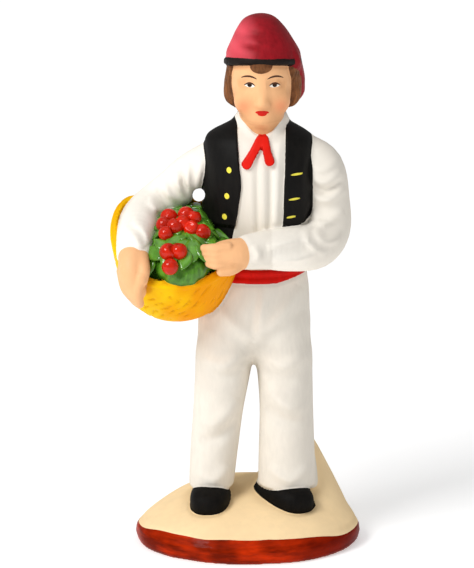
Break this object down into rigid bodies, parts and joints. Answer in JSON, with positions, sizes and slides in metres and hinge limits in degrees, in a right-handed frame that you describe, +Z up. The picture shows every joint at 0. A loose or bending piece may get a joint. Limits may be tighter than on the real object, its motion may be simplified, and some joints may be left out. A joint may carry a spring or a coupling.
{
  "type": "santon figure",
  "caption": "Hand-painted clay santon of a young man in a crimson cap and black waistcoat, with a yellow basket of leaves and cherries on his hip, standing on a low hill.",
  "frame": {"origin": "centre of the flat underside of the base", "axes": "+Z up along the figure, -Y the way the figure faces, +X towards the figure's left hand"},
  "size_m": [0.0413, 0.0301, 0.09],
  "materials": {
    "painted_clay": "fired clay, hand-painted in matt colours, with a varnished rim"
  },
  "bodies": {
    "root": {"santon_figure": "painted_clay"}
  },
  "joints": []
}
